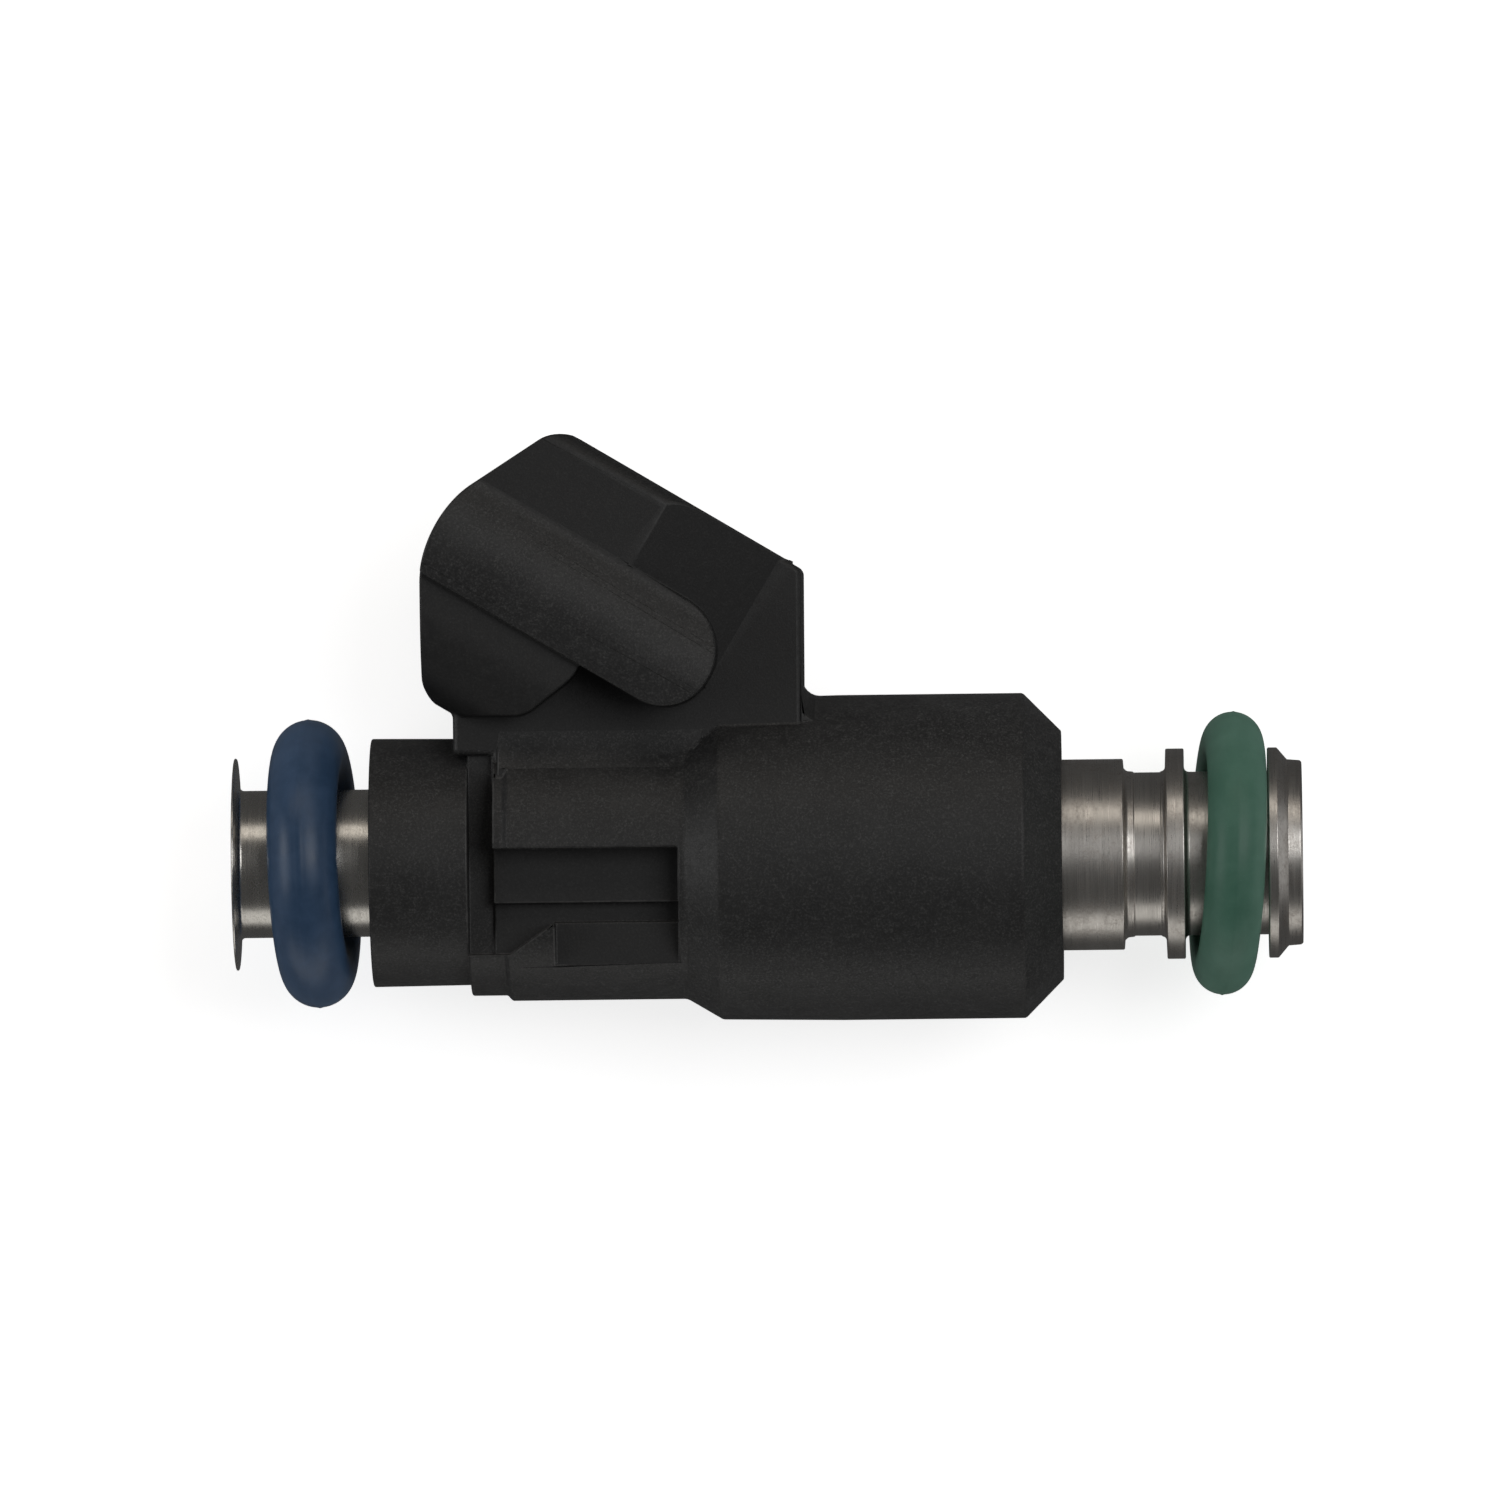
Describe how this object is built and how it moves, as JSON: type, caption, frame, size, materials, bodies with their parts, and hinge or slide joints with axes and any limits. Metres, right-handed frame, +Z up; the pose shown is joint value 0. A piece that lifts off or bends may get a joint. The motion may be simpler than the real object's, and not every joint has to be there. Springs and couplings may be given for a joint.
{
  "type": "fuel injector",
  "caption": "Top-feed fuel injector with an overmoulded connector hood, a seal ring at each end, a turned valve body and a working solenoid valve inside.",
  "frame": {"origin": "on the injector axis, at the middle of the port seal near the spray end", "axes": "+X along the injector axis towards the spray end, +Y towards the connector hood, +Z up out of the side the injector lies on"},
  "size_m": [0.0544, 0.03, 0.0172],
  "materials": {
    "black_nylon": "glass-filled nylon, lightly speckled and streaked along the flow",
    "valve_steel": "turned stainless steel with stains",
    "inlet_rubber": "dark blue moulded rubber",
    "port_rubber": "dark green moulded rubber",
    "terminal_tin": "stamped bronze with a matt tin coat",
    "filter_brass": "drawn brass",
    "filter_nylon": "natural nylon",
    "filter_weave": "fine woven nylon",
    "magnet_steel": "turned soft magnetic steel",
    "drawn_steel": "drawn stainless tube",
    "spring_steel": "drawn spring wire",
    "ball_steel": "lapped bearing steel",
    "orifice_steel": "thin rolled stainless sheet",
    "bobbin_nylon": "brown moulded nylon",
    "copper_wire": "enamelled copper wire in layers",
    "housing_steel": "deep-drawn plated steel"
  },
  "bodies": {
    "housing": {"inlet_tube": "drawn_steel", "inlet_o_ring": "inlet_rubber", "overmold": "black_nylon", "terminal_left": "terminal_tin", "terminal_right": "terminal_tin", "filter_ring": "filter_brass", "filter_frame": "filter_nylon", "filter_mesh": "filter_weave", "adjusting_sleeve": "drawn_steel", "return_spring": "spring_steel", "pole_piece": "magnet_steel", "nonmagnetic_sleeve": "drawn_steel", "ball_guide": "magnet_steel", "valve_seat": "magnet_steel", "orifice_disc": "orifice_steel", "orifice_retainer": "orifice_steel", "valve_body": "valve_steel", "seal_retainer": "valve_steel", "port_o_ring": "port_rubber", "coil_bobbin": "bobbin_nylon", "coil_winding": "copper_wire", "coil_housing": "housing_steel", "flux_washer": "magnet_steel"},
    "valve_group": {"armature": "magnet_steel", "needle_tube": "drawn_steel", "valve_ball": "ball_steel"}
  },
  "joints": [
    {"name": "valve_lift", "type": "slide", "parent": "housing", "child": "valve_group", "axis": [-1, 0, 0], "range_m": [0, 0.00008], "stiffness_N_per_m": 4000, "deforming": ["return_spring"]}
  ]
}
